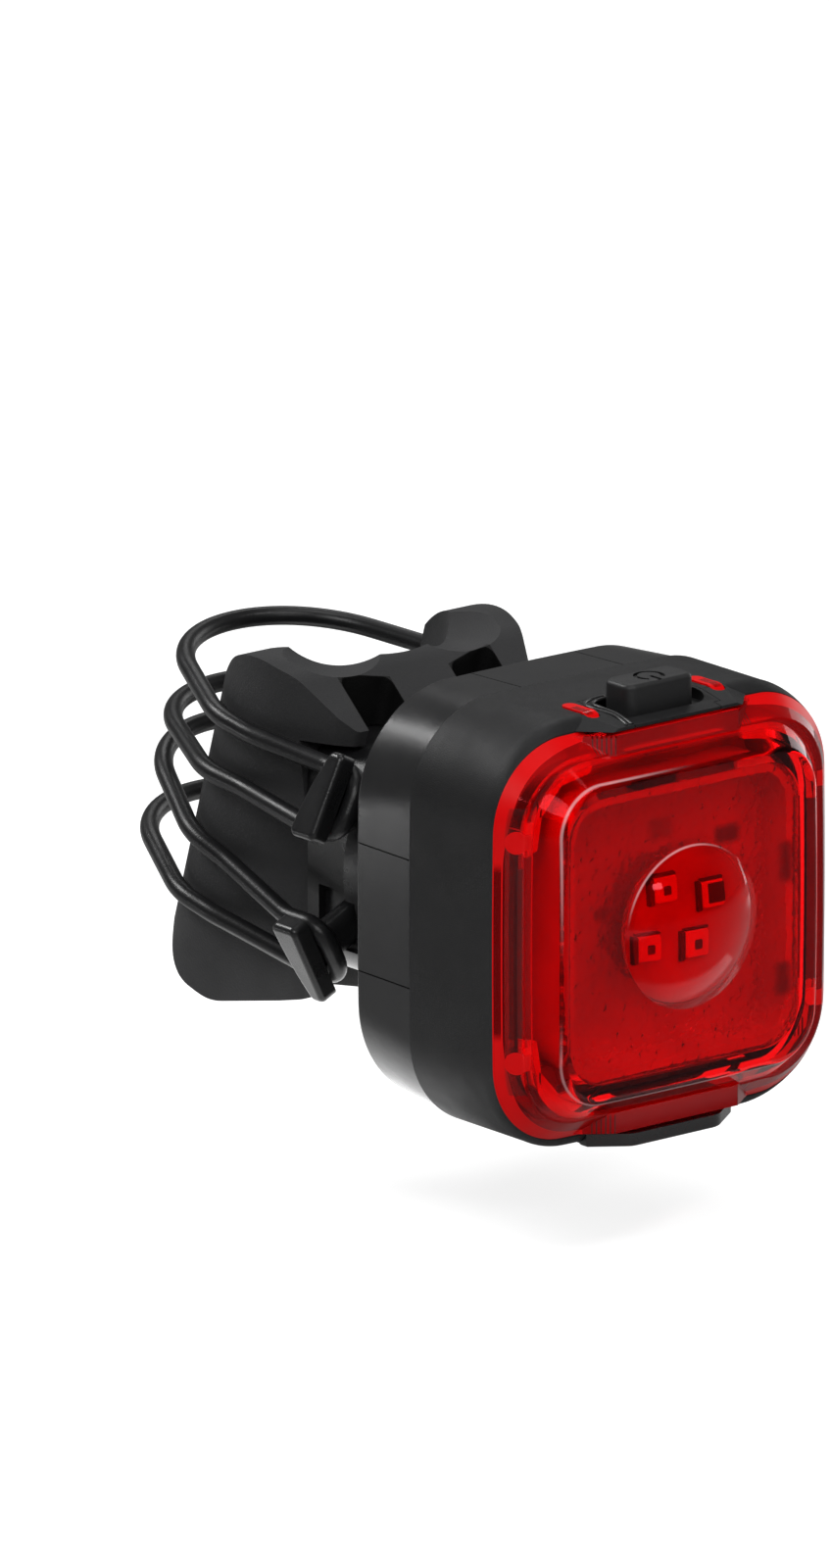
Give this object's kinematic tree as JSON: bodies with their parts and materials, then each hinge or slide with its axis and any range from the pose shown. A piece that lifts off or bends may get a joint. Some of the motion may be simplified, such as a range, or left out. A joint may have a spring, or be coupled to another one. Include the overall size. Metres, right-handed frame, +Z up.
{
  "type": "bicycle rear light",
  "caption": "Square bicycle rear light with a domed red lens, top button and charging port, on a quarter-turn bracket with a rubber pad and elastic bands for a round seat post.",
  "frame": {"origin": "on the axis of the seat post that the pad grips, level with the middle of the lamp", "axes": "lens faces -Y, +X to the right seen from the front, +Z up; the seat post leans 17 degrees, its top towards -Y, so that it lies along (0, -0.292372, 0.956305)"},
  "size_m": [0.0482, 0.0915, 0.0523],
  "materials": {
    "bezel_plastic": "fine grain",
    "shell_plastic": "satin",
    "red_lens": "clear red",
    "red_window": "clear red",
    "tray_plastic": "gloss",
    "board": "satin",
    "led_chip": "gloss",
    "clear_plastic": "gloss",
    "soft_rubber": "soft satin",
    "chip_black": "matt",
    "port_steel": "satin",
    "screw_steel": "satin",
    "cell_wrap": "film",
    "foam": "matt",
    "bracket_plastic": "semi-gloss",
    "pad_rubber": "matt",
    "band_rubber": "semi-gloss"
  },
  "bodies": {
    "mount": {"bracket": "bracket_plastic", "post_pad": "pad_rubber", "upper_band": "band_rubber", "lower_band": "band_rubber"},
    "lamp": {"front_bezel": "bezel_plastic", "rear_housing": "shell_plastic", "outer_lens": "red_lens", "diffuser_panel": "red_lens", "reflector_tray": "tray_plastic", "led_board": "board", "main_leds": "led_chip", "side_leds": "led_chip", "light_columns": "clear_plastic", "indicator_leds": "led_chip", "left_indicator_window": "red_window", "right_indicator_window": "red_window", "button_surround": "soft_rubber", "switch_body": "chip_black", "main_board": "board", "board_chips": "chip_black", "usb_c_port": "port_steel", "board_spacers": "clear_plastic", "board_screws": "screw_steel", "battery_cell": "cell_wrap", "battery_foam": "foam", "housing_seal": "soft_rubber", "twist_foot": "bracket_plastic", "foot_screws": "screw_steel"},
    "button": {"power_button": "soft_rubber", "switch_plunger": "chip_black"},
    "port_cover": {"port_cover": "soft_rubber"}
  },
  "joints": [
    {"name": "head_turn", "type": "hinge", "parent": "mount", "child": "lamp", "pos_m": [0, -0.0386, 0], "axis": [0, 1, 0], "range_deg": [-90, 90]},
    {"name": "button_press", "type": "slide", "parent": "lamp", "child": "button", "axis": [0, 0, -1], "range_m": [0, 0.0006], "stiffness_N_per_m": 600, "springref_m": -0.002},
    {"name": "port_cover_hinge", "type": "hinge", "parent": "lamp", "child": "port_cover", "pos_m": [0, -0.0538, -0.02407], "axis": [1, 0, 0], "range_deg": [0, 90]}
  ]
}
